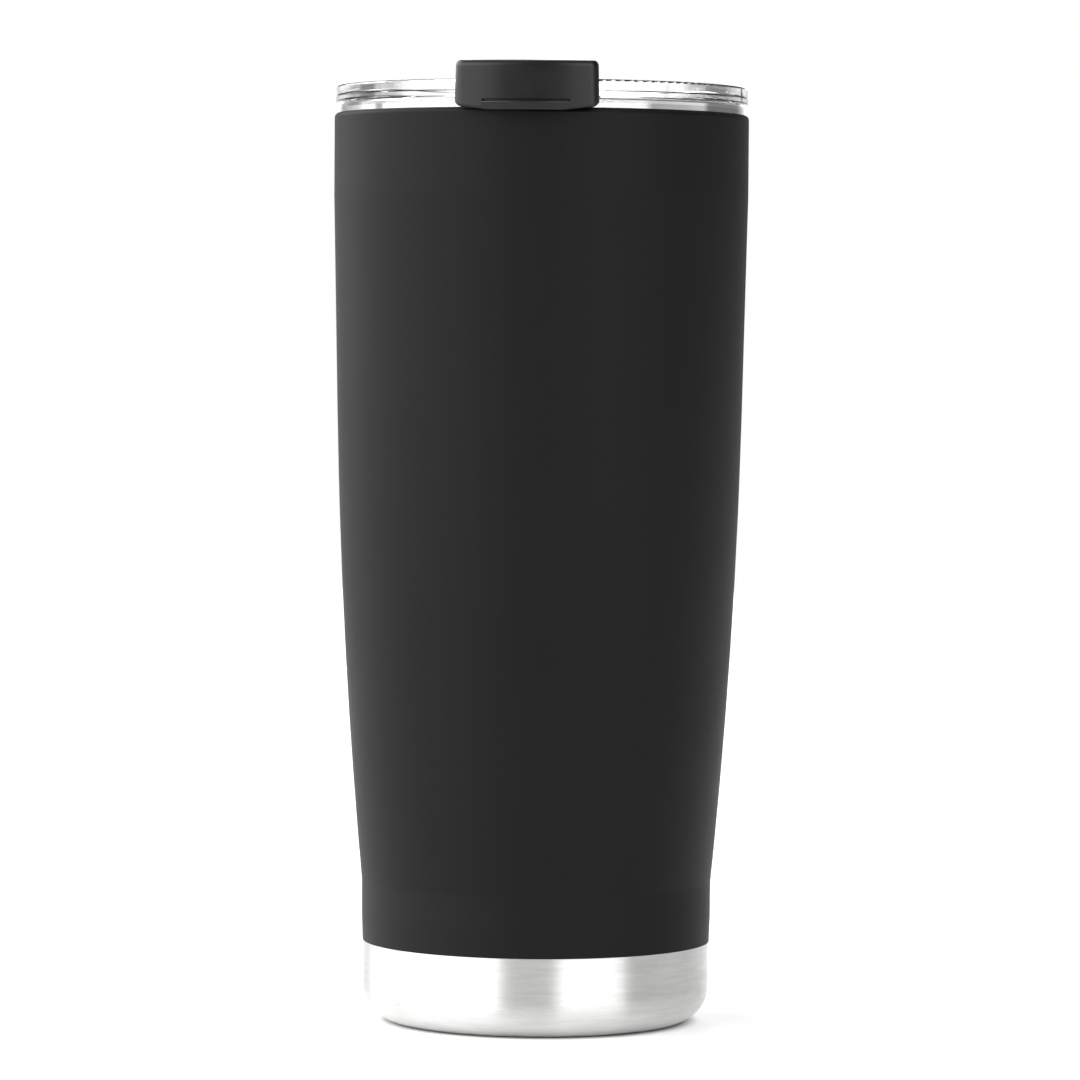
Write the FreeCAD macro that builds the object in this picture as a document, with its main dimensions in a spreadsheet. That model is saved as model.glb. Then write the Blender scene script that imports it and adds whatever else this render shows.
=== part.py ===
"""Vacuum-insulated travel mug: a double-walled steel cup with a soft coat, a press-in clear lid and a flip cap.

Millimetres. +Z is up, the floor is z = 0 under the middle of the foot, and the drinking side faces -Y.
Every outline below is a list of points whose coordinates are expressions over the names in SIZES.
"""

import FreeCAD, Part
import math
import os
import re
import Sketcher
from FreeCAD import Vector

SIZES = {
    # the cup's side, measured on the outside of the coat
    "body_radius": 43.1,
    "cone_height": 172,  # the straight upper band ends here and a slight cone begins
    "belly_radius": 42.16,
    "belly_height": 127.4,  # the cone turns into the long belly arc here
    "belly_arc": 1311,
    "knee_radius": 36.45,
    "knee_height": 29.3,
    "hem_radius": 36.42,
    "hem_height": 22,
    "coat": 0.25,
    "coat_bottom": 16.76,
    "coat_hem": 0.2,
    # the outer wall's foot and lip
    "wall": 0.5,
    "base_radius": 36.03,
    "base_corner": 7.3,
    "foot_inner": 26.8,
    "seat_radius": 24.2,
    "seat_height": 2.2,
    "lip_radius": 42.1,
    "shoulder_height": 187.95,
    "lip_height": 189.95,
    "weld_height": 0.9,
    "weld_edge": 0.3,
    # the base plate, its dimple and what closes it
    "plate_thick": 0.8,
    "plate_edge_gap": 0.1,
    "dimple_radius": 6,
    "dimple_rise": 2,
    "dimple_slope": 1,
    "vent_radius": 1,
    "bead_radius": 3,
    "bead_thick": 0.6,
    "disc_radius": 9,
    "disc_thick": 0.5,
    # the liner and the foil round it, as depths below the outside of the coat
    "foil_depth": 3.35,
    "foil_thick": 0.15,
    "liner_depth": 3.7,
    "mouth_radius": 41.1,
    "mouth_step": 182.5,
    "liner_floor": 12,
    "liner_seam": 24.4,
    "dish_corner": 12,
    # the getter in the bottom of the vacuum space
    "getter_offset": 14,
    "getter_radius": 4.1,
    "getter_thick": 2,
    "clip_wall": 0.4,
    "clip_height": 2.6,
    "clip_tab_length": 16,
    "clip_tab_width": 5,
    # the lid
    "lid_gap": 0.1,
    "flange_radius": 42.95,
    "flange_line": 192.2,  # a fine groove runs round the flange here
    "flange_line_depth": 0.25,
    "flange_step": 0.15,
    "flange_top": 194.6,
    "flange_edge": 0.5,
    "flange_inner": 34.3,
    "deck_radius": 34.1,
    "deck_top": 191.2,
    "deck_thick": 2,
    "skirt_outer": 39.9,
    "skirt_inner": 38.2,
    "skirt_bottom": 179.5,
    "skirt_lead": 0.7,
    "groove_floor": 39,
    "groove_bottom": 184.2,
    "groove_height": 3.2,
    "gasket_side_gap": 0.1,
    "gasket_body": 40.1,
    "gasket_lip": 40.95,
    "gasket_lip_rise": 0.6,
    "gasket_lip_edge": 0.2,
    # the drinking hole, the air hole and their raised collars
    "spout_y": 27,
    "spout_half_length": 9,
    "spout_half_width": 4,
    "collar_wall": 1.2,
    "collar_top": 192.4,
    "air_y": 15.6,
    "air_radius": 1,
    "air_collar": 2.2,
    # the hinge
    "hinge_y": 7,
    "hinge_height": 195.6,
    "pin_radius": 1,
    "pin_clearance": 0.08,
    "pin_chamfer": 0.2,
    "ear_radius": 2.6,
    "ear_thick": 3.2,
    "ear_gap": 0.2,
    "ear_root": 0.3,
    # the flip cap
    "cap_half_width": 14.75,
    "cap_back_half": 11.8,
    "cap_face": 45.1,
    "cap_inner": 43.6,
    "cap_top": 198.5,
    "cap_bottom": 188.2,
    "cap_bottom_arc": 90,
    "cap_corner_height": 188.85,
    "cap_underside": 194.9,
    "cap_plate": 1.8,
    "cap_skirt": 1.6,
    "cap_neck_half": 8.5,
    "cap_neck_y": 10.4,
    "crown_length": 4,
    "crown_drop": 0.5,
    "cap_edge": 1.3,
    "cap_side_edge": 2.2,
    "cap_corner": 1.9,
    "cap_draft": 1.4,
    "cap_lower_edge": 0.5,
    "thumb_edge": 0.25,
    "thumb_half": 8.86,
    "thumb_angle": 22.6,
    "thumb_reach": 1.15,
    "thumb_step": 0.1,
    "thumb_root": 0.4,
    "thumb_draft": 6,
    "thumb_top": 190,
    "slot_height": 0.45,
    "slot_depth": 0.8,
    "boss_half_length": 7.2,
    "boss_half_width": 2.2,
    "boss_bottom": 192.2,
    "air_boss_radius": 1.8,
    "air_boss_bottom": 194,
    # the seals under the cap
    "seal_wall": 1.5,
    "seal_bottom": 191.35,
    "seal_taper": 0.5,
    "seal_flange": 2.6,
    "seal_flange_bottom": 192.5,
    "seal_flange_thick": 0.8,
    "seal_top": 196.2,
    "air_pad_radius": 2.6,
    "air_pad_edge": 0.3,
    # how far a cut runs past the solid, and how deep one solid is sunk into another that it joins
    "past": 1,
}

# names used in several outlines
SHOULDER_BEND = "(body_radius - coat - lip_radius)"
LINER_INSIDE = "(liner_depth + wall)"
FLANGE_BOTTOM = "(lip_height + weld_height + lid_gap)"
UPPER_FLANGE = "(flange_radius - flange_step)"
PLATE_BOTTOM = "(seat_height - plate_thick)"
CAP_FRONT = "sqrt(cap_face^2 - cap_half_width^2)"
LEFT, RIGHT = 1, -1
NEAR_ZERO = 1e-9
LEAST_CHANGE = 1e-3  # mm3
ON_EDGE = 0.01

doc = FreeCAD.newDocument("travel_mug")


def make_sheet():
    """The driving sizes, one named cell each."""
    sheet = doc.addObject("Spreadsheet::Sheet", "Dims")
    for row, (name, value) in enumerate(SIZES.items(), start=1):
        sheet.set(f"A{row}", name)
        sheet.set(f"B{row}", str(value))
        sheet.setAlias(f"B{row}", name)
    doc.recompute()
    return sheet


def bound(text):
    """An expression over the names in SIZES, with each name turned into its cell in the sheet."""
    return re.sub(r"[a-z][a-z_]*", lambda m: "Dims." + m[0] if m[0] in SIZES else m[0], str(text))


def value_of(text):
    """The number that such an expression gives now."""
    return float(sheet.evalExpression(bound(text)))


class Bend:
    """An arc between two outline points, bulging to the left or the right of the way the outline runs."""

    def __init__(self, radius, side):
        self.radius = radius
        self.side = side

    def middle(self, start, end):
        half = (end - start) * 0.5
        sagitta = value_of(self.radius) - math.sqrt(value_of(self.radius) ** 2 - half.Length**2)
        left = Vector(-half.y, half.x, 0).normalize()
        return start + half + left * (self.side * sagitta)


def backwards(run):
    """The same stretch of outline, run the other way."""
    return [Bend(x.radius, -x.side) if isinstance(x, Bend) else x for x in reversed(run)]


def pin_point(sketch, geometry, end, at):
    """Binds one end of a sketch edge to a point given as two expressions."""
    for kind, text, axis in (("DistanceX", at[0], -2), ("DistanceY", at[1], -1)):
        number = value_of(text)
        if abs(number) < NEAR_ZERO:
            sketch.addConstraint(Sketcher.Constraint("PointOnObject", geometry, end, axis))
        elif number > 0:
            n = sketch.addConstraint(Sketcher.Constraint(kind, -1, 1, geometry, end, number))
            sketch.setExpression(f"Constraints[{n}]", bound(text))
        else:
            n = sketch.addConstraint(Sketcher.Constraint(kind, geometry, end, -1, 1, -number))
            sketch.setExpression(f"Constraints[{n}]", bound(f"-({text})"))


def new_sketch(body, plane, height):
    """An empty sketch on one of the body's own planes, or off it by a height along that plane's normal."""
    sketch = body.newObject("Sketcher::SketchObject", body.Name + "_sketch")
    origin = next(f for f in body.Origin.OriginFeatures if f.Role == plane + "_Plane")
    sketch.AttachmentSupport = [(origin, "")]
    sketch.MapMode = "FlatFace"
    if height is not None:
        sketch.setExpression("AttachmentOffset.Base.z", bound(height))
    return sketch


def draw(body, plane, outline, height=None):
    """A sketch of one closed outline: points, with a Bend between two of them where the edge is an arc."""
    sketch = new_sketch(body, plane, height)
    corners = [x for x in outline if not isinstance(x, Bend)]
    bends = {}
    for i, x in enumerate(outline):
        if isinstance(x, Bend):
            bends[sum(not isinstance(y, Bend) for y in outline[:i]) - 1] = x
    places = [Vector(value_of(x), value_of(y), 0) for x, y in corners]
    ends = []
    for i, start in enumerate(places):
        stop = places[(i + 1) % len(places)]
        if i in bends:
            middle = bends[i].middle(start, stop)
            ahead = bends[i].side == RIGHT  # a sketch arc always runs anticlockwise
            arc = Part.Arc(start, middle, stop) if ahead else Part.Arc(stop, middle, start)
            ends.append((sketch.addGeometry(arc, False), *((1, 2) if ahead else (2, 1))))
        else:
            ends.append((sketch.addGeometry(Part.LineSegment(start, stop), False), 1, 2))
    for i, (geometry, first, last) in enumerate(ends):
        following, its_first, _ = ends[(i + 1) % len(ends)]
        sketch.addConstraint(Sketcher.Constraint("Coincident", geometry, last, following, its_first))
        pin_point(sketch, geometry, first, corners[i])
        if i in bends:
            n = sketch.addConstraint(Sketcher.Constraint("Radius", geometry, value_of(bends[i].radius)))
            sketch.setExpression(f"Constraints[{n}]", bound(bends[i].radius))
    return sketch


def circle(body, plane, at, radius, height=None):
    """A sketch of one circle."""
    sketch = new_sketch(body, plane, height)
    place = Vector(value_of(at[0]), value_of(at[1]), 0)
    geometry = sketch.addGeometry(Part.Circle(place, Vector(0, 0, 1), value_of(radius)), False)
    pin_point(sketch, geometry, 3, at)
    n = sketch.addConstraint(Sketcher.Constraint("Radius", geometry, value_of(radius)))
    sketch.setExpression(f"Constraints[{n}]", bound(radius))
    return sketch


def slot_outline(y, half_length, half_width):
    """A hole with round ends, lying across the mug at a distance y in front of its axis."""
    straight = f"({half_length} - {half_width})"
    end = Bend(half_width, RIGHT)
    return [
        (straight, f"-{y} - {half_width}"),
        end,
        (half_length, f"-{y}"),
        end,
        (straight, f"-{y} + {half_width}"),
        (f"-{straight}", f"-{y} + {half_width}"),
        end,
        (f"-({half_length})", f"-{y}"),
        end,
        (f"-{straight}", f"-{y} - {half_width}"),
    ]


def new_body(label):
    body = doc.addObject("PartDesign::Body", label)
    body.Label = label
    return body


def feature(body, kind, sketch, **settings):
    """A feature made from a sketch, where text settings are expressions. It has to add or cut something."""
    before = body.Shape.Volume if body.Tip else 0.0
    made = body.newObject("PartDesign::" + kind, body.Name + "_" + kind)
    made.Profile = sketch
    for name, setting in settings.items():
        if isinstance(setting, str):
            made.setExpression(name, bound(setting))
        else:
            setattr(made, name, setting)
    sketch.Visibility = False
    doc.recompute()
    change = made.Shape.Volume - before
    if change * (-1 if kind in ("Pocket", "Groove") else 1) < LEAST_CHANGE:
        raise RuntimeError(f"{made.Name} changed the volume of {body.Label} by {change:.3f}")
    return made


def turned(body, sketch, kind="Revolution", **settings):
    """The sketch turned about the mug's own axis."""
    return feature(body, kind, sketch, ReferenceAxis=(sketch, ["V_Axis"]), **settings)


def lathe(label, outline):
    """A body turned from one outline of (radius, height) points."""
    body = new_body(label)
    turned(body, draw(body, "XZ", outline), Angle=360.0)
    return body


def lathe_at(label, y, outline):
    """A turned body whose own axis stands at a distance y in front of the mug's axis."""
    body = lathe(label, outline)
    body.setExpression("Placement.Base.y", bound(f"-{y}"))
    return body


def round_off(body, kind, size_name, size, chosen):
    """A fillet or chamfer on every edge of the body that the test picks."""
    base = body.Tip
    names = [f"Edge{n}" for n, edge in enumerate(base.Shape.Edges, start=1) if chosen(edge)]
    made = body.newObject("PartDesign::" + kind, body.Name + "_" + kind)
    made.Base = (base, names)
    made.setExpression(size_name, bound(size))
    doc.recompute()
    if abs(made.Shape.Volume - base.Shape.Volume) < LEAST_CHANGE:
        raise RuntimeError(f"{made.Name} left {body.Label} as it was")
    return made


def side(depth):
    """The cup's side from the knee up to the top of the cone, at a depth below the outside of the coat."""
    return [
        (f"knee_radius - {depth}", "knee_height"),
        Bend("belly_arc", RIGHT),
        (f"belly_radius - {depth}", "belly_height"),
        (f"body_radius - {depth}", "cone_height"),
    ]


def make_outer_shell():
    """The outer wall: rolled foot, corner, side, shoulder and the bare lip."""
    outside = [
        ("seat_radius", "seat_height"),
        ("foot_inner", "seat_height"),
        ("foot_inner", "0"),
        ("base_radius - base_corner", "0"),
        Bend("base_corner", RIGHT),
        ("base_radius", "base_corner"),
        ("base_radius", "coat_bottom"),
        ("hem_radius - coat", "hem_height"),
        *side("coat"),
        ("body_radius - coat", "shoulder_height"),
        Bend(SHOULDER_BEND, RIGHT),
        ("lip_radius", f"shoulder_height + {SHOULDER_BEND}"),
        ("lip_radius", "lip_height"),
    ]
    inside = [
        ("lip_radius - wall", "lip_height"),
        ("lip_radius - wall", f"shoulder_height + {SHOULDER_BEND} - wall"),
        ("body_radius - coat - wall", "shoulder_height - wall"),
        *backwards(side("(coat + wall)")),
        ("hem_radius - coat - wall", "hem_height"),
        ("base_radius - wall", "coat_bottom"),
        ("base_radius - wall", "base_corner"),
        Bend("base_corner - wall", LEFT),
        ("base_radius - base_corner", "wall"),
        ("foot_inner + wall", "wall"),
        ("foot_inner + wall", "seat_height + wall"),
        ("seat_radius", "seat_height + wall"),
    ]
    return lathe("outer_shell", outside + inside)


def make_grip_coat():
    """The matt coat on the outer wall, from its hem above the bare foot to the shoulder under the lip."""
    outside = [
        ("base_radius + coat_hem", "coat_bottom"),
        ("hem_radius", "hem_height"),
        *side("0"),
        ("body_radius", "shoulder_height"),
        Bend(f"{SHOULDER_BEND} + coat", RIGHT),
        ("lip_radius", f"shoulder_height + {SHOULDER_BEND} + coat"),
    ]
    inside = [
        ("lip_radius", f"shoulder_height + {SHOULDER_BEND}"),
        Bend(SHOULDER_BEND, LEFT),
        ("body_radius - coat", "shoulder_height"),
        *backwards(side("coat")),
        ("hem_radius - coat", "hem_height"),
        ("base_radius", "coat_bottom"),
    ]
    return lathe("grip_coat", outside + inside)


def make_liner_wall():
    """The inner wall, from the weld above its bottom to the mouth, where it nests in the outer wall's lip."""
    inside = [
        (f"knee_radius - {LINER_INSIDE}", "liner_seam"),
        *side(LINER_INSIDE),
        ("mouth_radius", "mouth_step"),
        ("mouth_radius", "lip_height"),
    ]
    outside = [
        ("mouth_radius + wall", "lip_height"),
        ("mouth_radius + wall", "mouth_step"),
        *backwards(side("liner_depth")),
        ("knee_radius - liner_depth", "liner_seam"),
    ]
    return lathe("liner_wall", inside + outside)


def make_liner_bottom():
    """The dished bottom welded to the inner wall."""
    radius, corner = f"(knee_radius - {LINER_INSIDE})", "(liner_floor + dish_corner)"
    outline = [
        ("0", "liner_floor"),
        (f"{radius} - dish_corner", "liner_floor"),
        Bend("dish_corner", RIGHT),
        (radius, corner),
        (radius, "liner_seam"),
        (f"{radius} + wall", "liner_seam"),
        (f"{radius} + wall", corner),
        Bend("dish_corner + wall", LEFT),
        (f"{radius} - dish_corner", "liner_floor - wall"),
        ("0", "liner_floor - wall"),
    ]
    return lathe("liner_bottom", outline)


def make_rim_weld():
    """The polished bead that joins the two walls round the mouth, ground off at both edges."""
    top = "(lip_height + weld_height)"
    outline = [
        ("mouth_radius", "lip_height"),
        ("lip_radius", "lip_height"),
        ("lip_radius", f"{top} - weld_edge"),
        ("lip_radius - weld_edge", top),
        ("mouth_radius + weld_edge", top),
        ("mouth_radius", f"{top} - weld_edge"),
    ]
    return lathe("rim_weld", outline)


def make_radiation_foil():
    """The copper foil wrapped round the liner in the vacuum space."""
    return lathe("radiation_foil", side("(foil_depth + foil_thick)") + backwards(side("foil_depth")))


def make_base_plate():
    """The plate that closes the bottom of the vacuum space, with a pierced dimple in the middle."""
    edge, rim = "foot_inner - plate_edge_gap", "(dimple_radius + plate_thick)"
    return lathe(
        "base_plate",
        [
            (edge, PLATE_BOTTOM),
            (edge, "seat_height"),
            (f"{rim} + dimple_slope", "seat_height"),
            ("dimple_radius", "seat_height + dimple_rise"),
            ("vent_radius", "seat_height + dimple_rise"),
            ("vent_radius", f"{PLATE_BOTTOM} + dimple_rise"),
            ("dimple_radius - plate_thick", f"{PLATE_BOTTOM} + dimple_rise"),
            (rim, PLATE_BOTTOM),
        ],
    )


def make_seal_bead():
    """The solder that closes the pumping hole: a stem in the hole and a puddle under it."""
    under = f"{PLATE_BOTTOM} + dimple_rise"
    outline = [
        ("0", f"{under} - bead_thick"),
        ("bead_radius", f"{under} - bead_thick / 2"),
        ("bead_radius", under),
        ("vent_radius", under),
        ("vent_radius", "seat_height + dimple_rise"),
        ("0", "seat_height + dimple_rise"),
    ]
    return lathe("seal_bead", outline)


def make_base_disc():
    """The cover stuck over the dimple, slightly turned up at its edge."""
    bottom = f"{PLATE_BOTTOM} - disc_thick"
    outline = [
        ("0", bottom),
        ("disc_radius - disc_thick", bottom),
        ("disc_radius", f"{bottom} + disc_thick / 2"),
        ("disc_radius", PLATE_BOTTOM),
        ("0", PLATE_BOTTOM),
    ]
    return lathe("base_disc", outline)


def cylinder(name, radius, height, x, z):
    """A Part cylinder standing on the mug's XZ plane."""
    made = doc.addObject("Part::Cylinder", name)
    for field, text in (("Radius", radius), ("Height", height)):
        made.setExpression(field, bound(text))
    for field, text in (("Placement.Base.x", x), ("Placement.Base.z", z)):
        made.setExpression(field, bound(text))
    return made


def make_getter():
    """The getter tablet and the spot-welded clip that holds it on the base plate, inside the vacuum."""
    tablet = cylinder("getter", "getter_radius", "getter_thick", "getter_offset", "seat_height + clip_wall")
    tablet.Label = "getter"
    cup = cylinder("clip_cup", "getter_radius + clip_wall", "clip_height", "getter_offset", "seat_height")
    room = cylinder(
        "clip_room", "getter_radius", "clip_height", "getter_offset", "seat_height + clip_wall"
    )
    tab = doc.addObject("Part::Box", "clip_tab")
    lengths = {
        "Length": "clip_tab_width",
        "Width": "clip_tab_length",
        "Height": "clip_wall",
        "Placement.Base.x": "getter_offset - clip_tab_width / 2",
        "Placement.Base.y": "-clip_tab_length / 2",
        "Placement.Base.z": "seat_height",
    }
    for field, text in lengths.items():
        tab.setExpression(field, bound(text))
    solid = doc.addObject("Part::Fuse", "clip_solid")
    solid.Base, solid.Tool = cup, tab
    clip = doc.addObject("Part::Cut", "getter_clip")
    clip.Base, clip.Tool = solid, room
    clip.Label = "getter_clip"
    return [tablet, clip]


def lid_outline():
    """The lid's section: deck, skirt with its gasket groove, and the flange that rests on the lip."""
    groove_top = "(groove_bottom + groove_height)"
    line = "flange_line_depth"
    return [
        ("0", "deck_top - deck_thick"),
        ("skirt_inner", "deck_top - deck_thick"),
        ("skirt_inner", "skirt_bottom"),
        ("skirt_outer - skirt_lead", "skirt_bottom"),
        ("skirt_outer", "skirt_bottom + skirt_lead"),
        ("skirt_outer", "groove_bottom"),
        ("groove_floor", "groove_bottom"),
        ("groove_floor", groove_top),
        ("skirt_outer", groove_top),
        ("skirt_outer", FLANGE_BOTTOM),
        (f"flange_radius - {line}", FLANGE_BOTTOM),
        ("flange_radius", f"{FLANGE_BOTTOM} + {line}"),
        ("flange_radius", "flange_line"),
        (f"flange_radius - {line}", f"flange_line + {line} / 2"),
        (UPPER_FLANGE, f"flange_line + {line}"),
        (UPPER_FLANGE, "flange_top - flange_edge"),
        Bend("flange_edge", RIGHT),
        (f"{UPPER_FLANGE} - flange_edge", "flange_top"),
        ("flange_inner", "flange_top"),
        ("deck_radius", "deck_top"),
        ("0", "deck_top"),
    ]


def ear_outline():
    """A hinge ear seen along the pin: a round head on a straight foot that is sunk into the deck."""
    low, high = "deck_top - ear_root", "hinge_height"
    return [
        ("-hinge_y - ear_radius", low),
        ("-hinge_y + ear_radius", low),
        ("-hinge_y + ear_radius", high),
        Bend("ear_radius", RIGHT),
        ("-hinge_y", f"{high} + ear_radius"),
        Bend("ear_radius", RIGHT),
        ("-hinge_y - ear_radius", high),
    ]


def make_lid():
    """The clear lid with its two collared holes and the two hinge ears."""
    body = lathe("lid_body", lid_outline())
    rise = "collar_top - deck_top + ear_root"
    root = "deck_top - ear_root"
    collar = slot_outline("spout_y", "(spout_half_length + collar_wall)", "(spout_half_width + collar_wall)")
    feature(body, "Pad", draw(body, "XY", collar, root), Length=rise)
    feature(body, "Pad", circle(body, "XY", ("0", "-air_y"), "air_collar", root), Length=rise)
    depth = "collar_top - deck_top + deck_thick"
    spout = slot_outline("spout_y", "spout_half_length", "spout_half_width")
    feature(body, "Pocket", draw(body, "XY", spout, "collar_top"), Length=depth)
    feature(body, "Pocket", circle(body, "XY", ("0", "-air_y"), "air_radius", "collar_top"), Length=depth)
    inner = "(cap_neck_half + ear_gap)"
    for start in (inner, f"-{inner} - ear_thick"):
        feature(body, "Pad", draw(body, "YZ", ear_outline(), start), Length="ear_thick")
    bore = circle(body, "YZ", ("-hinge_y", "hinge_height"), "pin_radius", f"{inner} + ear_thick")
    feature(body, "Pocket", bore, Length=f"2 * ({inner} + ear_thick)")
    return body


def make_gasket():
    """The silicone ring in the lid's groove, with two wiping lips."""
    low, high = "(groove_bottom + gasket_side_gap)", "(groove_bottom + groove_height - gasket_side_gap)"
    outline = [
        ("groove_floor", low),
        ("gasket_body", low),
        ("gasket_lip", f"{low} + gasket_lip_rise"),
        ("gasket_lip", f"{low} + gasket_lip_rise + gasket_lip_edge"),
        ("gasket_body", f"({low} + {high}) / 2"),
        ("gasket_lip", f"{high} - gasket_lip_rise"),
        ("gasket_lip", f"{high} - gasket_lip_rise + gasket_lip_edge"),
        ("gasket_body", high),
        ("groove_floor", high),
    ]
    return lathe("lid_gasket", outline)


def make_hinge_pin():
    """The steel pin through both ears and the cap's barrel."""
    body = new_body("hinge_pin")
    half = "(cap_neck_half + ear_gap + ear_thick)"
    profile = circle(body, "YZ", ("-hinge_y", "hinge_height"), "pin_radius", f"-{half}")
    feature(body, "Pad", profile, Length=f"2 * {half}")
    round_off(body, "Chamfer", "Size", "pin_chamfer", lambda edge: isinstance(edge.Curve, Part.Circle))
    return body


def cap_plan():
    """The flip cap from above, without its neck: an arc in front and sides that close in towards the back."""
    return [
        ("-cap_half_width", f"-{CAP_FRONT}"),
        Bend("cap_face", RIGHT),
        ("cap_half_width", f"-{CAP_FRONT}"),
        ("cap_back_half", "-cap_neck_y"),
        ("-cap_back_half", "-cap_neck_y"),
    ]


def cap_neck():
    """The narrower neck that runs back from the cap to the hinge, from above."""
    return [
        ("-cap_neck_half", "-cap_neck_y - cap_skirt"),
        ("cap_neck_half", "-cap_neck_y - cap_skirt"),
        ("cap_neck_half", "-hinge_y"),
        ("-cap_neck_half", "-hinge_y"),
    ]


def cap_hollow():
    """The recess under the cap's top plate, inside its side skirts."""
    half, back_half = "(cap_half_width - cap_skirt)", "(cap_back_half - cap_skirt)"
    front = "(cap_inner - cap_skirt)"
    reach = f"-sqrt({front}^2 - {half}^2)"
    return [
        (f"-{half}", reach),
        Bend(front, RIGHT),
        (half, reach),
        (back_half, "-cap_neck_y - cap_skirt"),
        (f"-{back_half}", "-cap_neck_y - cap_skirt"),
    ]


def cap_trim():
    """What is cut from below so that the front's lower edge is a shallow arc with round corners."""
    below, above = "cap_bottom - past", "cap_corner_height + cap_corner"
    out, start = "(cap_half_width + past)", "(cap_half_width - cap_corner)"
    return [
        (f"-{out}", below),
        (out, below),
        (out, above),
        ("cap_half_width", above),
        Bend("cap_corner", LEFT),
        (start, "cap_corner_height"),
        Bend("cap_bottom_arc", LEFT),
        (f"-{start}", "cap_corner_height"),
        Bend("cap_corner", LEFT),
        ("-cap_half_width", above),
        (f"-{out}", above),
    ]


def cap_crown():
    """What is turned off the top so that it curves down to the front."""
    over = "(cap_top + past)"
    return [
        ("cap_face - crown_length", over),
        ("cap_face - crown_length", "cap_top"),
        Bend("(crown_length^2 + crown_drop^2) / (2 * crown_drop)", LEFT),
        ("cap_face", "cap_top - crown_drop"),
        ("cap_face + past", "cap_top - crown_drop - past / 2"),
        ("cap_face + past", over),
    ]


def make_flip_cap():
    """The flip cap: front wall, top plate, skirts, hinge barrel, two bosses and a thumb ledge."""
    body = new_body("flip_cap")
    plan = draw(body, "XY", cap_plan(), "cap_bottom")
    feature(body, "Pad", plan, Length="cap_top - cap_bottom", TaperAngle="-cap_draft")

    def on_top_outside(edge):
        box = edge.BoundBox
        high = box.ZMin > value_of("cap_top - crown_drop - cap_edge")
        seam = value_of("cap_face - crown_length")
        on_seam = all(abs(math.hypot(v.X, v.Y) - seam) < ON_EDGE for v in edge.Vertexes)
        return high and not on_seam and box.YLength > ON_EDGE and box.YMin < -value_of("cap_neck_y + past")

    def upright_in_front(edge):
        box = edge.BoundBox
        return box.ZLength > value_of("cap_plate") and box.YMax < -value_of(f"{CAP_FRONT} - past")

    round_off(body, "Fillet", "Radius", "cap_side_edge", upright_in_front)
    turned(body, draw(body, "XZ", cap_crown()), "Groove", Angle=360.0)
    round_off(body, "Fillet", "Radius", "cap_edge", on_top_outside)
    rim_space = [
        ("0", "cap_bottom - past"),
        ("cap_inner", "cap_bottom - past"),
        ("cap_inner", "cap_underside"),
        ("0", "cap_underside"),
    ]
    turned(body, draw(body, "XZ", rim_space), "Groove", Angle=360.0)
    neck = draw(body, "XY", cap_neck(), "cap_underside")
    feature(body, "Pad", neck, Length="cap_top - cap_underside")
    barrel = circle(body, "YZ", ("-hinge_y", "hinge_height"), "cap_top - hinge_height", "-cap_neck_half")
    feature(body, "Pad", barrel, Length="2 * cap_neck_half")
    hollow = draw(body, "XY", cap_hollow(), "cap_underside")
    feature(body, "Pocket", hollow, Length="cap_top - cap_plate - cap_underside", Reversed=True)
    boss = slot_outline("spout_y", "boss_half_length", "boss_half_width")
    feature(body, "Pad", draw(body, "XY", boss, "boss_bottom"), Length="cap_top - past - boss_bottom")
    air_boss = circle(body, "XY", ("0", "-air_y"), "air_boss_radius", "air_boss_bottom")
    feature(body, "Pad", air_boss, Length="cap_top - past - air_boss_bottom")
    add_thumb_ledge(body)
    trim = draw(body, "XZ", cap_trim())
    feature(body, "Pocket", trim, Length="cap_face + thumb_reach + past", Reversed=True)

    def lower_edge_of_face(edge):
        inside, outside = value_of("cap_inner") + ON_EDGE, value_of("cap_face") + ON_EDGE
        low = all(v.Z < value_of("thumb_top") - ON_EDGE for v in edge.Vertexes)
        return low and all(inside < math.hypot(v.X, v.Y) < outside for v in edge.Vertexes)

    def edge_of_ledge(edge):
        middle = edge.valueAt((edge.FirstParameter + edge.LastParameter) / 2)
        return math.hypot(middle.x, middle.y) > value_of("cap_face + thumb_reach / 2")

    round_off(body, "Fillet", "Radius", "cap_lower_edge", lower_edge_of_face)
    round_off(body, "Fillet", "Radius", "thumb_edge", edge_of_ledge)
    pin_space = "pin_radius + pin_clearance"
    bore = circle(body, "YZ", ("-hinge_y", "hinge_height"), pin_space, "cap_neck_half + past")
    feature(body, "Pocket", bore, Length="2 * (cap_neck_half + past)")
    return body


def add_thumb_ledge(body):
    """The thumb ledge, more bowed than the front wall that it stands on, and the fine slot above it."""
    root, tip = "-(cap_face - slot_depth)", "-(cap_face + thumb_reach)"
    ends = "(sqrt(cap_face^2 - thumb_half^2) + thumb_step)"
    bow = f"(cap_face + thumb_reach - {ends})"
    ledge = [
        ("-thumb_half", f"-{ends}"),
        Bend(f"(thumb_half^2 + {bow}^2) / (2 * {bow})", RIGHT),
        ("thumb_half", f"-{ends}"),
        ("thumb_half", f"-({ends} - thumb_root)"),
        ("-thumb_half", f"-({ends} - thumb_root)"),
    ]
    plan = draw(body, "XY", ledge, "cap_bottom")
    feature(body, "Pad", plan, Length="thumb_top - cap_bottom", TaperAngle="thumb_draft")
    slot = [
        (root, "thumb_top"),
        (tip, "thumb_top"),
        (tip, "thumb_top + slot_height"),
        (root, "thumb_top + slot_height"),
    ]
    turned(body, draw(body, "YZ", slot), "Groove", Angle="thumb_angle", Midplane=True)


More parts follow.
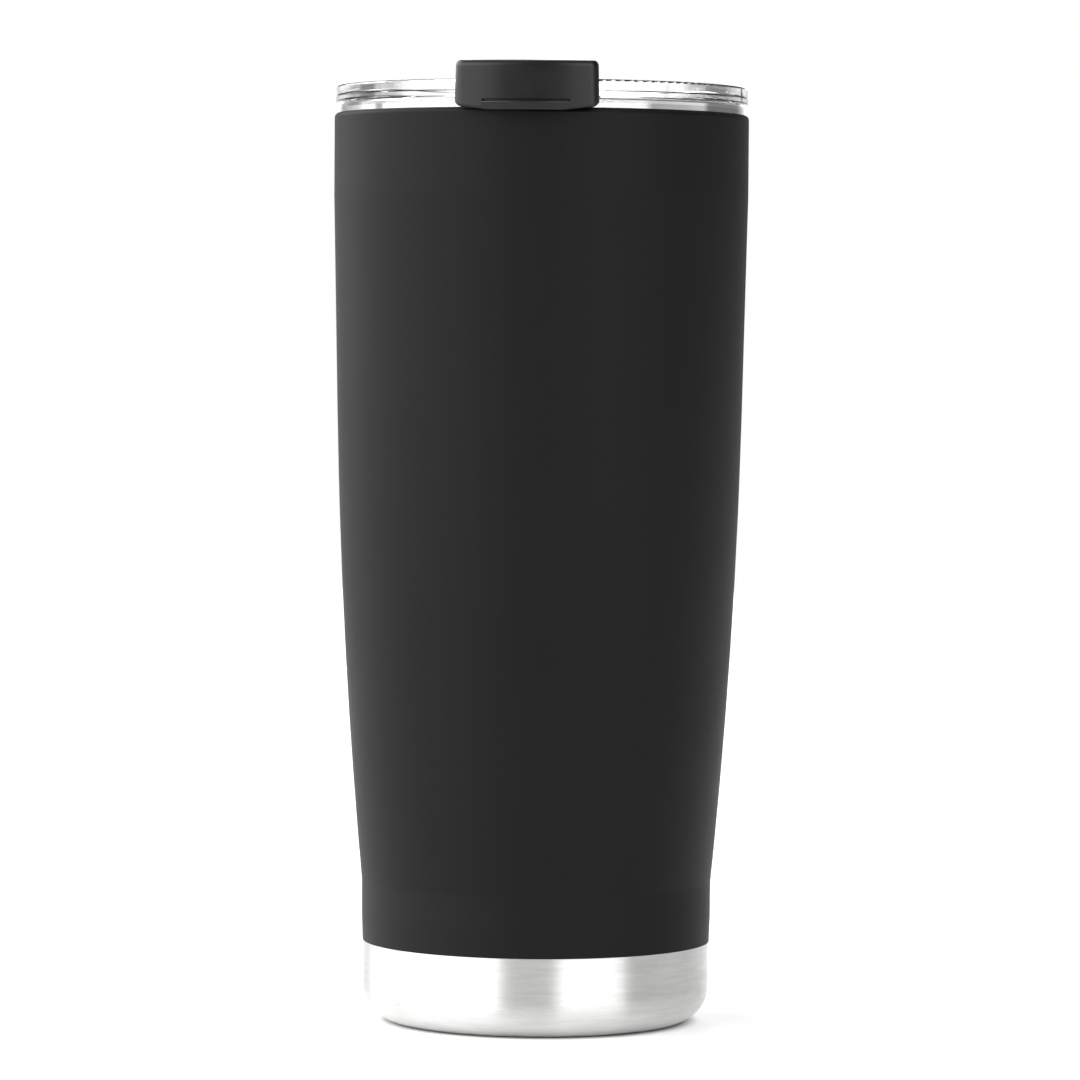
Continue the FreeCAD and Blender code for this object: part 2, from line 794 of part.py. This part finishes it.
def make_spout_seal():
    """The silicone boot stretched over the cap's long boss: a plug, a flange over the collar and a sleeve."""
    body = new_body("spout_seal")
    plug = ("(boss_half_length + seal_wall)", "(boss_half_width + seal_wall)")
    flange = ("(boss_half_length + seal_flange)", "(boss_half_width + seal_flange)")
    flange_top = "(seal_flange_bottom + seal_flange_thick)"
    low = draw(body, "XY", slot_outline("spout_y", *plug), "seal_bottom")
    feature(body, "Pad", low, Length="seal_flange_bottom - seal_bottom")
    middle = draw(body, "XY", slot_outline("spout_y", *flange), "seal_flange_bottom")
    feature(body, "Pad", middle, Length="seal_flange_thick")
    sleeve = draw(body, "XY", slot_outline("spout_y", *plug), flange_top)
    feature(body, "Pad", sleeve, Length=f"seal_top - {flange_top}")
    room = draw(body, "XY", slot_outline("spout_y", "boss_half_length", "boss_half_width"), "seal_top")
    feature(body, "Pocket", room, Length="seal_top - boss_bottom")

    def lowest(edge):
        return edge.BoundBox.ZMax < value_of("seal_bottom") + ON_EDGE

    round_off(body, "Chamfer", "Size", "seal_taper", lowest)
    return body


def make_air_pad():
    """The silicone pad that closes the air hole: a cap over the short boss."""
    bottom = "seal_flange_bottom"
    top = "(air_boss_bottom + seal_flange_thick)"
    return lathe_at(
        "air_pad",
        "air_y",
        [
            ("0", bottom),
            ("air_pad_radius - air_pad_edge", bottom),
            ("air_pad_radius", f"{bottom} + air_pad_edge"),
            ("air_pad_radius", top),
            ("air_boss_radius", top),
            ("air_boss_radius", "air_boss_bottom"),
            ("0", "air_boss_bottom"),
        ],
    )


def check(parts):
    """Stops if any object failed, or a part's shape is empty or invalid."""
    doc.recompute()
    failed = [o.Name for o in doc.Objects if {"Invalid", "Error"} & set(o.State)]
    bad = [o.Label for o in parts if o.Shape.isNull() or not o.Shape.isValid() or not o.Shape.Solids]
    if failed or bad:
        raise RuntimeError(f"failed objects {failed}, bad shapes {bad}")


sheet = make_sheet()
parts = [
    make_outer_shell(),
    make_grip_coat(),
    make_liner_wall(),
    make_liner_bottom(),
    make_rim_weld(),
    make_radiation_foil(),
    make_base_plate(),
    make_seal_bead(),
    make_base_disc(),
    *make_getter(),
    make_lid(),
    make_gasket(),
    make_hinge_pin(),
    make_flip_cap(),
    make_spout_seal(),
    make_air_pad(),
]
check(parts)
os.makedirs("parts", exist_ok=True)
for part in parts:
    part.Shape.exportStep(os.path.join("parts", part.Label + ".step"))
    print(f"{part.Label:16s} {part.Shape.Volume / 1000:8.2f} cm3, {len(part.Shape.Solids)} solid")
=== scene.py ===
"""Travel mug with a matt coat, a bare steel foot and lip, a clear lid and a black flip cap. Metres throughout."""

import math

import bpy
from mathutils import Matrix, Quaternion, Vector


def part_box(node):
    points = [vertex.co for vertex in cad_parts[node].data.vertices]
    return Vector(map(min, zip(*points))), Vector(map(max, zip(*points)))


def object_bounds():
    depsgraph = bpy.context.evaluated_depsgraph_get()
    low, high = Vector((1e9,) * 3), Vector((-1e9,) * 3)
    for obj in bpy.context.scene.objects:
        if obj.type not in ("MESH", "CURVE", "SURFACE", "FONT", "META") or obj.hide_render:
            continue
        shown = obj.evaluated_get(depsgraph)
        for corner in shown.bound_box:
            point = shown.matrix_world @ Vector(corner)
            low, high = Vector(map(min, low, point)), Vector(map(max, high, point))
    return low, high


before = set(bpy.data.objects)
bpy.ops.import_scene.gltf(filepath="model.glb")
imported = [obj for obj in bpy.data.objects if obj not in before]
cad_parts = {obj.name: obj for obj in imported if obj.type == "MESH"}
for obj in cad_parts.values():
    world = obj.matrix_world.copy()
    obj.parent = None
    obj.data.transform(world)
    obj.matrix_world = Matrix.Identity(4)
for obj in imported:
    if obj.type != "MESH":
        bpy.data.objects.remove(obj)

CAD_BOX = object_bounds()
MM = 0.001
SHARP_ANGLE = math.radians(28)
WHITE = (1, 1, 1, 1)

# the floor: a disc that glows evenly, with a painted contact shadow where the glow is cut off under the foot
FLOOR_RADIUS = 1.8
FLOOR_SIDES = 96
FLOOR_GAP = 0.02 * MM  # how far it lies below the foot
FLOOR_GLOW = 0.50
# painted contact shadow: the floor's glow is cut off under the foot and fades back in between these distances
FOOT_PAINTED_SHADOW = (0.031, 0.0345)  # the glow fades in between these distances from the mug's axis

# the bare steel
BRUSHED_BUMP = 0.6
POLISHED_BUMP = 0.03
POLISHED_ROUGHNESS = 0.10
POLISH_STARTS = 0.5 * MM  # how far below the coat's top the brushing ends
POLISH_FADE = 0.3 * MM

# where the camera stands, measured from the mug's axis, and how it is turned
CAMERA_DISTANCE = 1.120
CAMERA_HEIGHT = 0.1459
CAMERA_AZIMUTH = math.radians(4.2)
CAMERA_ROLL = math.radians(0.436)
CAMERA_AIM_HEIGHT = 0.10035
CAMERA_AIM_RIGHT = 0.00027
CAMERA_LENS = 178.95

# how bright the studio is, all round: degrees from the camera's side, positive to its right, and strength
STUDIO_RING = (
    (-180, 4.0),
    (-173, 4.0),
    (-169, 0.45),
    (-151, 0.45),
    (-142, 3.8),
    (-120, 4.8),
    (-111, 4.8),
    (-108, 0.4),
    (-104, 0.4),
    (-101, 4.8),
    (-60, 4.6),
    (-28, 3.6),
    (-22, 0.1),
    (13, 0.1),
    (18, 3.2),
    (60, 3.2),
    (65, 0.02),
    (104, 0.02),
    (109, 0.15),
    (150, 0.2),
    (169, 0.35),
    (173, 4.0),
    (180, 4.0),
)
# the same for what lies below HORIZON_TOP, which is seen through the lid's flange
STUDIO_HORIZON = (
    (-180, 1.3),
    (-164, 1.1),
    (-158, 0.6),
    (-146, 0.5),
    (-141, 0.2),
    (-128, 0.2),
    (-122, 0.7),
    (60, 0.7),
    (104, 1.0),
    (109, 0.25),
    (146, 0.25),
    (166, 0.9),
    (180, 1.3),
)
BRIGHTEST = 4.8  # the strongest of these, which stands for 1 in the colour ramps
OVERHEAD = 0.3
# heights, as the sine of the angle above the horizon
HORIZON_TOP = 0.05
HORIZON_BLEND = 0.02
OVERHEAD_FROM, OVERHEAD_WHOLE = 0.7, 0.95


# ---------------------------------------------------------------- node helpers


class Tree:
    """Adds and joins the nodes of one material or world."""

    def __init__(self, owner):
        owner.use_nodes = True
        self.tree = owner.node_tree
        self.nodes = self.tree.nodes

    def add(self, kind, settings=None, **inputs):
        """A new node, with its settings made first and then its inputs, named with _ for a space."""
        node = self.nodes.new("ShaderNode" + kind)
        for name, value in (settings or {}).items():
            setattr(node, name, value)
        for name, value in inputs.items():
            self.feed(node, name.replace("_", " "), value)
        return node

    def feed(self, node, key, value):
        """Sets or links one input, found by its place or by its name among those in use."""
        by_place = isinstance(key, int)
        socket = node.inputs[key] if by_place else next(s for s in node.inputs if s.enabled and s.name == key)
        if isinstance(value, bpy.types.NodeSocket):
            self.tree.links.new(value, socket)
        else:
            socket.default_value = value

    def result(self, node):
        return next(s for s in node.outputs if s.enabled)

    def math(self, operation, *values):
        node = self.add("Math", {"operation": operation})
        for place, value in enumerate(values):
            self.feed(node, place, value)
        return self.result(node)

    def place(self, scale=(1, 1, 1)):
        """The point on the object in metres, stretched by a scale along each axis."""
        where = self.add("TexCoord").outputs["Object"]
        return self.result(self.add("Mapping", Vector=where, Scale=scale))

    def noise(self, size, detail=3.0, rough=0.5, scale=(1, 1, 1)):
        """Noise whose features are about size metres across, longer where scale is under 1."""
        node = self.add("TexNoise", Vector=self.place(scale), Scale=1 / size, Detail=detail, Roughness=rough)
        return node.outputs["Fac"]

    def between(self, value, low, high, start=0.3, end=0.7):
        """The value, spread from start..end, where most noise lies, to low..high."""
        ends = {"From_Min": start, "From_Max": end, "To_Min": low, "To_Max": high}
        return self.result(self.add("MapRange", Value=value, **ends))

    def blend(self, value, first, second):
        """A colour between two, by a value from 0 to 1."""
        return self.result(self.add("Mix", {"data_type": "RGBA"}, Factor=value, A=(*first, 1), B=(*second, 1)))

    def bump(self, height, distance, strength=1.0, normal=None):
        node = self.add("Bump", Height=height, Distance=distance, Strength=strength)
        if normal is not None:
            self.feed(node, "Normal", normal)
        return node.outputs["Normal"]


def surface(name, **constants):
    """A new material, its tree and its shader, with constants set on the shader's own sockets."""
    made = bpy.data.materials.new(name)
    tree = Tree(made)
    shader = tree.nodes["Principled BSDF"]
    for socket, value in constants.items():
        shader.inputs[socket.replace("_", " ")].default_value = value
    return made, tree, shader


# ---------------------------------------------------------------- materials


def matt_coat():
    """Soft black coat: almost no colour, a fine sprayed grain and a faint orange peel."""
    made, tree, shader = surface("matt_coat", Specular_IOR_Level=0.14)
    cloud = tree.noise(0.03, detail=4)
    grain = tree.noise(0.00035, detail=2)
    tree.feed(shader, "Base Color", tree.blend(cloud, (0.0034, 0.0034, 0.0036), (0.0048, 0.0048, 0.0051)))
    tree.feed(shader, "Roughness", tree.between(cloud, 0.50, 0.56))
    peel = tree.bump(tree.noise(0.004, detail=1), 0.00001)
    tree.feed(shader, "Normal", tree.bump(grain, 0.00003, 0.5, peel))
    return made


def brushed(name, tint, low, high, smooth_above=None):
    """Stainless steel brushed round the mug, with fine level scratches; plain polish above a given height."""
    made, tree, shader = surface(name, Metallic=1.0, Anisotropic=1.0, Anisotropic_Rotation=0.25)
    lines = tree.noise(0.00022, detail=5, rough=0.7, scale=(0.03, 0.03, 1))
    streaks = tree.noise(0.0009, detail=6, rough=0.75, scale=(0.08, 0.08, 1))
    darker = [c * 0.80 for c in tint]
    tree.feed(shader, "Base Color", tree.blend(tree.between(streaks, 0, 1), darker, tint))
    rough = tree.between(lines, low, high)
    bump_strength = BRUSHED_BUMP
    if smooth_above is not None:
        height = tree.add("SeparateXYZ", Vector=tree.place()).outputs["Z"]
        is_polished = tree.between(height, 0, 1, smooth_above, smooth_above + POLISH_FADE)
        rough = tree.result(tree.add("Mix", A=rough, B=POLISHED_ROUGHNESS, Factor=is_polished))
        bump_strength = tree.between(is_polished, BRUSHED_BUMP, POLISHED_BUMP, 0, 1)
    tree.feed(shader, "Roughness", rough)
    tree.feed(shader, "Normal", tree.bump(lines, 0.00002, bump_strength))
    tangent = tree.add("Tangent", {"direction_type": "RADIAL", "axis": "Z"})
    tree.feed(shader, "Tangent", tangent.outputs["Tangent"])
    return made


def polished(name, tint, roughness):
    """Polished steel with faint polishing haze."""
    made, tree, shader = surface(name, Metallic=1.0)
    haze = tree.noise(0.003, detail=4)
    tree.feed(shader, "Base Color", tree.blend(haze, [c * 0.96 for c in tint], tint))
    tree.feed(shader, "Roughness", tree.between(haze, roughness, roughness * 1.7))
    tree.feed(shader, "Normal", tree.bump(tree.noise(0.0004, detail=2), 0.000004))
    return made


def clear_plastic():
    """Clear copolyester: glossy, barely tinted, with the slow waviness of a moulding."""
    made, tree, shader = surface("clear_plastic", Transmission_Weight=1.0, IOR=1.54)
    waves = tree.noise(0.012, detail=2)
    tree.feed(shader, "Base Color", tree.blend(waves, (0.975, 0.985, 0.985), (0.995, 0.998, 0.998)))
    tree.feed(shader, "Roughness", tree.between(tree.noise(0.002), 0.005, 0.03))
    tree.feed(shader, "Normal", tree.bump(waves, 0.00006, 0.5))
    return made


def black_plastic():
    """Black polypropylene with a fine spark-eroded grain and a satin gloss."""
    made, tree, shader = surface("black_plastic", Specular_IOR_Level=0.34)
    grain = tree.noise(0.0003, detail=2)
    cloud = tree.noise(0.008, detail=3)
    tree.feed(shader, "Base Color", tree.blend(cloud, (0.0035, 0.0035, 0.0037), (0.0055, 0.0055, 0.0058)))
    tree.feed(shader, "Roughness", tree.between(cloud, 0.28, 0.34))
    tree.feed(shader, "Normal", tree.bump(grain, 0.00004, 0.4))
    return made


def silicone():
    """Dark grey silicone rubber: soft, slightly dusty sheen."""
    made, tree, shader = surface("silicone", Specular_IOR_Level=0.4, Sheen_Weight=0.08, Sheen_Roughness=0.5)
    dust = tree.noise(0.0015, detail=5, rough=0.6)
    tree.feed(shader, "Base Color", tree.blend(dust, (0.050, 0.050, 0.052), (0.075, 0.075, 0.078)))
    tree.feed(shader, "Roughness", tree.between(dust, 0.45, 0.6))
    tree.feed(shader, "Normal", tree.bump(dust, 0.00002, 0.5))
    return made


def foil():
    """Thin bright foil, crinkled where it was wrapped."""
    made, tree, shader = surface("foil", Metallic=1.0)
    crease = tree.add("TexVoronoi", {"feature": "DISTANCE_TO_EDGE"}, Vector=tree.place(), Scale=160.0)
    tint = tree.noise(0.01)
    tree.feed(shader, "Base Color", tree.blend(tint, (0.78, 0.78, 0.79), (0.88, 0.88, 0.88)))
    tree.feed(shader, "Roughness", tree.between(tint, 0.16, 0.3))
    tree.feed(shader, "Normal", tree.bump(crease.outputs["Distance"], 0.0004, 0.6))
    return made


def dull_metal(name, dark, light):
    """Solder or sintered metal: grainy and rough."""
    made, tree, shader = surface(name, Metallic=0.9)
    grains = tree.noise(0.0005, detail=6, rough=0.7)
    tree.feed(shader, "Base Color", tree.blend(grains, dark, light))
    tree.feed(shader, "Roughness", tree.between(grains, 0.4, 0.6))
    tree.feed(shader, "Normal", tree.bump(grains, 0.00006, 0.7))
    return made


def floor_paint():
    """White paint that glows evenly, with a painted contact shadow where the glow is cut off under the foot."""
    made, tree, shader = surface("floor_paint", Specular_IOR_Level=0.1)
    shader.inputs["Emission Color"].default_value = WHITE
    flat = tree.place(scale=(1, 1, 0))
    from_middle = tree.add("VectorMath", {"operation": "LENGTH"})
    tree.feed(from_middle, 0, flat)
    # painted contact shadow: no glow near the mug's axis, under the foot
    glow_with_painted_shadow = tree.between(tree.result(from_middle), 0, FLOOR_GLOW, FOOT_PAINTED_SHADOW[0], FOOT_PAINTED_SHADOW[1])
    tree.feed(shader, "Emission Strength", glow_with_painted_shadow)
    cloud = tree.noise(0.4, detail=2)
    tree.feed(shader, "Base Color", tree.blend(cloud, (0.56, 0.56, 0.56), (0.58, 0.58, 0.58)))
    tree.feed(shader, "Roughness", tree.between(cloud, 0.7, 0.8))
    return made


# ---------------------------------------------------------------- the mug


def dress(node, material):
    """Gives a CAD node its material and smooth shading between sharp edges."""
    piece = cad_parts[node]
    piece.data.materials.clear()
    piece.data.materials.append(material)
    piece.data.polygons.foreach_set("use_smooth", [True] * len(piece.data.polygons))
    piece.data.set_sharp_from_angle(angle=SHARP_ANGLE)


def dress_mug():
    steel = (0.74, 0.74, 0.73)
    coat_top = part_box("grip_coat")[1].z
    wall = brushed("brushed_shell", steel, 0.30, 0.36, smooth_above=coat_top - POLISH_STARTS)
    inner = brushed("brushed_liner", steel, 0.30, 0.40)
    mirror = polished("polished_steel", (0.84, 0.84, 0.83), 0.07)
    rubber = silicone()
    looks = {
        "outer_shell": wall,
        "grip_coat": matt_coat(),
        "liner_wall": inner,
        "liner_bottom": inner,
        "base_plate": inner,
        "getter_clip": inner,
        "rim_weld": mirror,
        "base_disc": mirror,
        "hinge_pin": mirror,
        "radiation_foil": foil(),
        "seal_bead": dull_metal("solder", (0.45, 0.45, 0.44), (0.62, 0.62, 0.60)),
        "getter": dull_metal("getter_metal", (0.24, 0.23, 0.22), (0.36, 0.35, 0.34)),
        "lid_body": clear_plastic(),
        "lid_gasket": rubber,
        "spout_seal": rubber,
        "air_pad": rubber,
        "flip_cap": black_plastic(),
    }
    for node, material in looks.items():
        dress(node, material)


# ---------------------------------------------------------------- studio


def make_floor():
    """A round white floor; past its edge the backdrop carries on."""
    turns = [2 * math.pi * i / FLOOR_SIDES for i in range(FLOOR_SIDES)]
    rim = [(FLOOR_RADIUS * math.cos(turn), FLOOR_RADIUS * math.sin(turn), 0) for turn in turns]
    mesh = bpy.data.meshes.new("studio_floor")
    mesh.from_pydata(rim, [], [tuple(range(FLOOR_SIDES))])
    mesh.materials.append(floor_paint())
    floor = bpy.data.objects.new("studio_floor", mesh)
    floor.location.z = CAD_BOX[0].z - FLOOR_GAP
    bpy.context.scene.collection.objects.link(floor)


def ring_light(tree, along, levels):
    """A background whose brightness changes round the horizon."""
    ramp = tree.add("ValToRGB", Fac=along)
    stops = ramp.color_ramp.elements
    stops.remove(stops[-1])
    for i, (degrees, level) in enumerate(levels):
        position = (degrees + 180) / 360
        stop = stops[0] if i == 0 else stops.new(position)
        stop.position = position
        stop.color = (*[level / BRIGHTEST] * 3, 1)
    return tree.add("Background", Color=ramp.outputs["Color"], Strength=BRIGHTEST)


def make_world():
    """A white studio, which the camera sees plain; softboxes and gaps light it and show in its reflections."""
    world = bpy.data.worlds.new("studio")
    bpy.context.scene.world = world
    tree = Tree(world)
    direction = tree.add("TexCoord").outputs["Generated"]
    parts = tree.add("SeparateXYZ", Vector=direction).outputs
    turn = tree.math("ARCTAN2", parts["X"], tree.math("MULTIPLY", parts["Y"], -1))
    along = tree.between(turn, 0, 1, CAMERA_AZIMUTH - math.pi, CAMERA_AZIMUTH + math.pi)
    ring = ring_light(tree, along, STUDIO_RING)
    low = ring_light(tree, along, STUDIO_HORIZON)
    above = tree.add("Background", Color=WHITE, Strength=OVERHEAD)
    backdrop = tree.add("Background", Color=WHITE, Strength=1.0)
    past_strip = tree.between(parts["Z"], 0, 1, HORIZON_TOP, HORIZON_TOP + HORIZON_BLEND)
    sides = tree.add("MixShader", Fac=past_strip)
    is_overhead = tree.between(parts["Z"], 0, 1, OVERHEAD_FROM, OVERHEAD_WHOLE)
    lit = tree.add("MixShader", Fac=is_overhead)
    whole = tree.add("MixShader", Fac=tree.add("LightPath").outputs["Is Camera Ray"])
    for mix, pair in ((sides, (low, ring)), (lit, (sides, above)), (whole, (lit, backdrop))):
        for place, part in enumerate(pair, start=1):
            tree.feed(mix, place, tree.result(part))
    tree.feed(tree.nodes["World Output"], "Surface", tree.result(whole))


def make_camera():
    data = bpy.data.cameras.new("camera")
    data.lens = CAMERA_LENS
    data.clip_start = 0.05
    data.clip_end = 100
    camera = bpy.data.objects.new("camera", data)
    bpy.context.scene.collection.objects.link(camera)
    right = Vector((math.cos(CAMERA_AZIMUTH), math.sin(CAMERA_AZIMUTH), 0))
    back = Vector((math.sin(CAMERA_AZIMUTH), -math.cos(CAMERA_AZIMUTH), 0))
    camera.location = back * CAMERA_DISTANCE + Vector((0, 0, CAMERA_HEIGHT))
    aim = right * CAMERA_AIM_RIGHT + Vector((0, 0, CAMERA_AIM_HEIGHT))
    level = (aim - camera.location).to_track_quat("-Z", "Y")
    camera.rotation_mode = "QUATERNION"
    camera.rotation_quaternion = level @ Quaternion((0, 0, 1), CAMERA_ROLL)
    bpy.context.scene.camera = camera


dress_mug()
make_floor()
make_world()
make_camera()
bpy.context.scene.view_settings.view_transform = "Standard"
